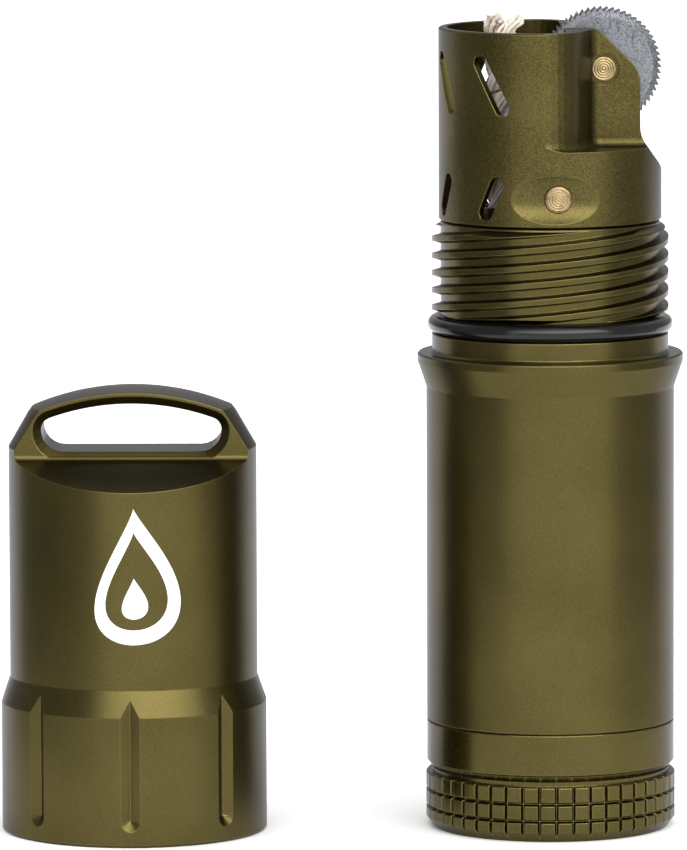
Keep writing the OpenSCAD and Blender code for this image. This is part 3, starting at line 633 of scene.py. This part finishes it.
class LighterWickSizes(bpy.types.PropertyGroup):
    wick_plies: IntProperty(name="Plies", description="Plies twisted into the wick", default=3, min=2, max=6)
    ply_yarns: IntProperty(name="Yarns", description="Yarns in each ply", default=9, min=3, max=16)
    yarn_radius: FloatProperty(name="Yarn radius", description="Radius of a yarn, in millimetres",
                               default=0.2, min=0.05, max=0.5)
    wick_pitch: FloatProperty(name="Twist", description="Height of one turn of a ply, in millimetres",
                              default=9.0, min=3.0, max=40.0)
    fray_length: FloatProperty(name="Fray", description="Length of the frayed end, in millimetres",
                               default=3.0, min=0.0, max=8.0)
    fray_spread: FloatProperty(name="Spread", description="How far the frayed end opens",
                               default=0.5, min=0.0, max=1.0)
    seed: IntProperty(name="Seed", description="Seed of the fray", default=3)


class LighterEmblemSizes(bpy.types.PropertyGroup):
    emblem_height: FloatProperty(name="Height", description="Height of the emblem, in millimetres",
                                 default=13.0, min=2, max=16)
    emblem_width: FloatProperty(name="Width", description="Width of the emblem, in millimetres",
                                default=10.0, min=2, max=14)
    emblem_stroke: FloatProperty(name="Stroke", description="Width of the line, in millimetres",
                                 default=1.4, min=0.3, max=3)
    emblem_foot: FloatProperty(name="Foot", description="Height of the emblem's foot, in millimetres",
                               default=19.3, min=14, max=30)
    cap_wall_radius: FloatProperty(name="Wall radius", description="Radius of the cap's wall, in millimetres",
                                   default=11.85, min=5, max=20)
    print_white: StringProperty(name="White", description="Colour of the print", default="#eff0f3")


class LighterStageSizes(bpy.types.PropertyGroup):
    camera_azimuth: FloatProperty(name="Azimuth", description="Direction of the camera", subtype="ANGLE",
                                  default=math.radians(-1.5))
    camera_elevation: FloatProperty(name="Elevation", description="Elevation of the camera",
                                    subtype="ANGLE", default=math.radians(6.65))
    camera_roll: FloatProperty(name="Roll", description="Turn of the picture", subtype="ANGLE",
                               default=math.radians(0.2))
    camera_distance: FloatProperty(name="Distance", description="Distance of the camera", subtype="DISTANCE",
                                   unit="LENGTH", default=0.8327, min=0.1)
    camera_lens: FloatProperty(name="Lens", description="Focal length in millimetres", default=368.5, min=1)
    camera_aim: FloatVectorProperty(name="Aim", description="Point in the middle of the picture",
                                    subtype="XYZ", default=(-0.0198, 0.0, 0.0387))
    floor_radius: FloatProperty(name="Floor", description="Radius of the floor", subtype="DISTANCE",
                                unit="LENGTH", default=6.0, min=0.5)
    softbox_strength: FloatProperty(name="Softboxes", description="Strength of the softboxes", default=1.0,
                                    min=0)
    dome_strength: FloatProperty(name="Dome", description="Strength of the even light on the floor",
                                 default=1.35, min=0)


# ---- Operators ----

class LIGHTER_OT_stage(bpy.types.Operator):
    """Make the camera, the soft light and the paper floor"""
    bl_idname = "lighter.stage"
    bl_label = "Stage"

    def execute(self, context):
        scene = context.scene
        scene.view_settings.view_transform = "Standard"
        sizes = scene.lighter_stage
        studio_camera(sizes)
        studio_world(sizes)
        paper_floor(sizes)
        for name, card in CARDS.items():
            reflection_card(name, *card)
        return {"FINISHED"}


class LIGHTER_OT_olive(bpy.types.Operator):
    """Finish the tube, fuel cap, chimney and cap in olive anodised aluminium"""
    bl_idname = "lighter.olive"
    bl_label = "Olive alloy"

    def execute(self, context):
        sizes = context.scene.lighter_finish
        seal_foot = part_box("neck_oring")[0][2]
        finish_nodes(["tank_body"], olive_anodised("olive_anodised_satin", sizes, 0.1, 1.0, 0.8, 0.34,
                                                   glossy_from=seal_foot - 3 * MM))
        finish_nodes(["cap_shell"], olive_anodised("olive_anodised_turned", sizes, 0.1, 1.0, 1.2, 0.34))
        finish_nodes(["fuel_cap"], olive_anodised("olive_anodised_cut", sizes, 0.1, 1.0, 0.3, 0.24))
        finish_nodes(["chimney"], olive_anodised("olive_anodised_blasted", sizes, 0.16, 3.0, 0.0, 0.37))
        return {"FINISHED"}


class LIGHTER_OT_metals(bpy.types.Operator):
    """Finish the brass, steel and flint pieces"""
    bl_idname = "lighter.metals"
    bl_label = "Brass and steel"

    def execute(self, context):
        sizes = context.scene.lighter_finish
        for name in ("chimney_pin", "wheel_axle"):
            low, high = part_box(name)
            finish_nodes([name], turned_brass("faced_brass_" + name, sizes, (low[0] + high[0]) / 2,
                                              (low[2] + high[2]) / 2))
        finish_nodes(["deck_insert", "flint_tube", "flint_screw", "flint_pusher", "wick_tube", "wick_wire"],
                     turned_brass("turned_brass", sizes))
        finish_nodes(["striker_wheel"], hardened_steel(sizes))
        finish_nodes(["flint"], flint_alloy())
        finish_nodes(["flint_spring"], drawn_wire())
        return {"FINISHED"}


class LIGHTER_OT_seals(bpy.types.Operator):
    """Finish the two rubber seals"""
    bl_idname = "lighter.seals"
    bl_label = "Seals"

    def execute(self, context):
        finish_nodes(["neck_oring", "fuel_cap_oring"], nitrile_rubber(context.scene.lighter_finish))
        return {"FINISHED"}


class LIGHTER_OT_wick(bpy.types.Operator):
    """Twist and fray the wick, and finish the packing"""
    bl_idname = "lighter.wick"
    bl_label = "Wick"

    def execute(self, context):
        make_wick(context.scene.lighter_wick)
        finish_nodes(["cotton_packing"], cotton_yarn("cotton_wadding", "#efe9dc", "#d8cfbd", 0.5))
        finish_nodes(["felt_pad"], cotton_yarn("pressed_felt", "#d5cdbd", "#b9af9c", 0.3))
        return {"FINISHED"}


class LIGHTER_OT_emblem(bpy.types.Operator):
    """Print a plain flame on the cap"""
    bl_idname = "lighter.emblem"
    bl_label = "Emblem"

    def execute(self, context):
        make_emblem(context.scene.lighter_emblem)
        return {"FINISHED"}


class LIGHTER_PT_sidebar(bpy.types.Panel):
    bl_idname = "LIGHTER_PT_sidebar"
    bl_label = "Capsule lighter"
    bl_space_type = "VIEW_3D"
    bl_region_type = "UI"
    bl_category = "Lighter"

    def draw(self, context):
        for kind in OPERATORS:
            self.layout.operator(kind.bl_idname)
        for key in GROUPS:
            group = getattr(context.scene, key)
            for prop in group.bl_rna.properties:
                if not prop.is_readonly and prop.identifier != "name":
                    self.layout.prop(group, prop.identifier)


GROUPS = {"lighter_finish": LighterFinishSizes, "lighter_wick": LighterWickSizes,
          "lighter_emblem": LighterEmblemSizes, "lighter_stage": LighterStageSizes}
OPERATORS = [LIGHTER_OT_stage, LIGHTER_OT_olive, LIGHTER_OT_metals, LIGHTER_OT_seals, LIGHTER_OT_wick,
             LIGHTER_OT_emblem]


def register():
    for kind in [*GROUPS.values(), *OPERATORS, LIGHTER_PT_sidebar]:
        bpy.utils.register_class(kind)
    for key, kind in GROUPS.items():
        setattr(bpy.types.Scene, key, PointerProperty(type=kind))


def unregister():
    for key in GROUPS:
        delattr(bpy.types.Scene, key)
    for kind in reversed([*GROUPS.values(), *OPERATORS, LIGHTER_PT_sidebar]):
        bpy.utils.unregister_class(kind)


def main():
    register()
    bpy.ops.lighter.stage()
    bpy.ops.lighter.olive()
    bpy.ops.lighter.metals()
    bpy.ops.lighter.seals()
    bpy.ops.lighter.wick()
    bpy.ops.lighter.emblem()


if __name__ == "__main__":
    main()
